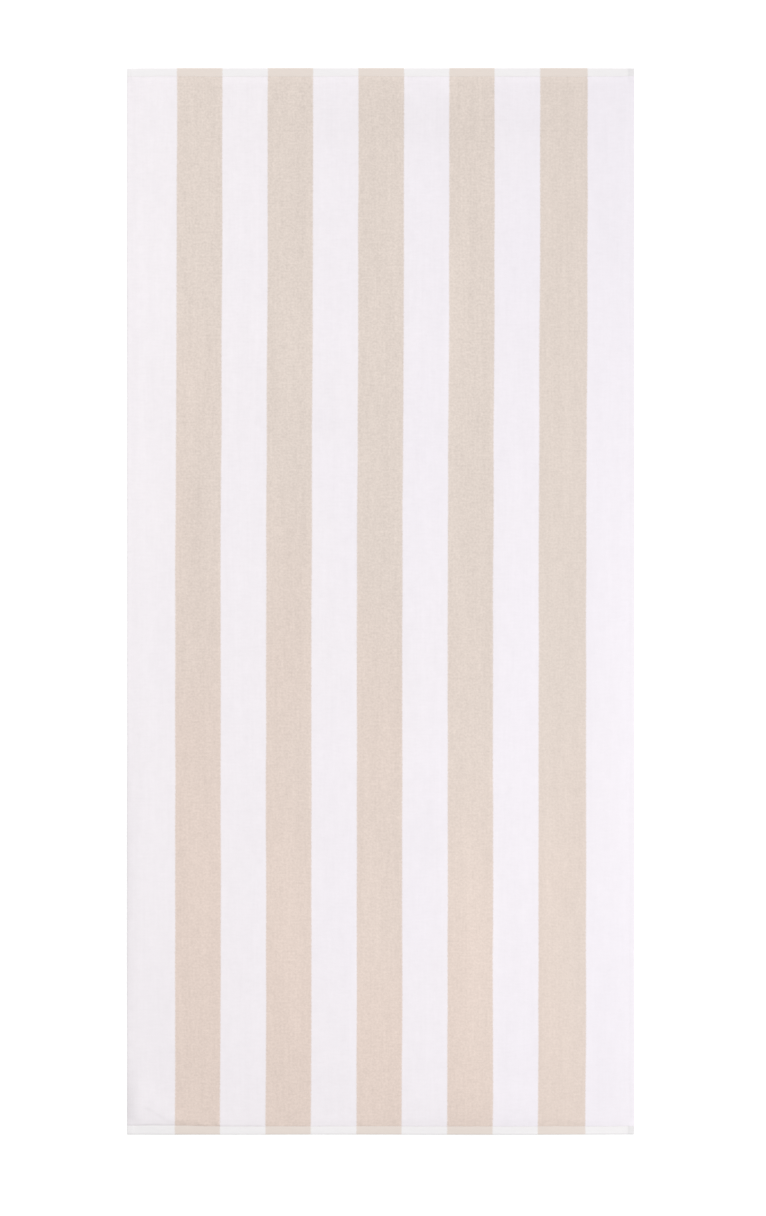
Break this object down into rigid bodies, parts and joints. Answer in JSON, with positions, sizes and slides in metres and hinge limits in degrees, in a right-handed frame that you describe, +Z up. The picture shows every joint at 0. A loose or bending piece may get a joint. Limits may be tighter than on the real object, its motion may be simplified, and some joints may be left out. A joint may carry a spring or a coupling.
{
  "type": "beach towel",
  "caption": "Rectangular cotton beach towel laid out flat, with lengthwise stripes and turned hems on its four sides.",
  "frame": {"origin": "middle of the laid-out towel, on the surface that it lies on", "axes": "+X across the stripes, +Y along the stripes, +Z up out of the pile side"},
  "size_m": [0.76, 1.6, 0.0062],
  "materials": {
    "cloth": "cotton velour, cut pile on the face and loops on the back, white with sand stripes, matt with a soft sheen"
  },
  "bodies": {
    "root": {"towel": "cloth"}
  },
  "joints": []
}
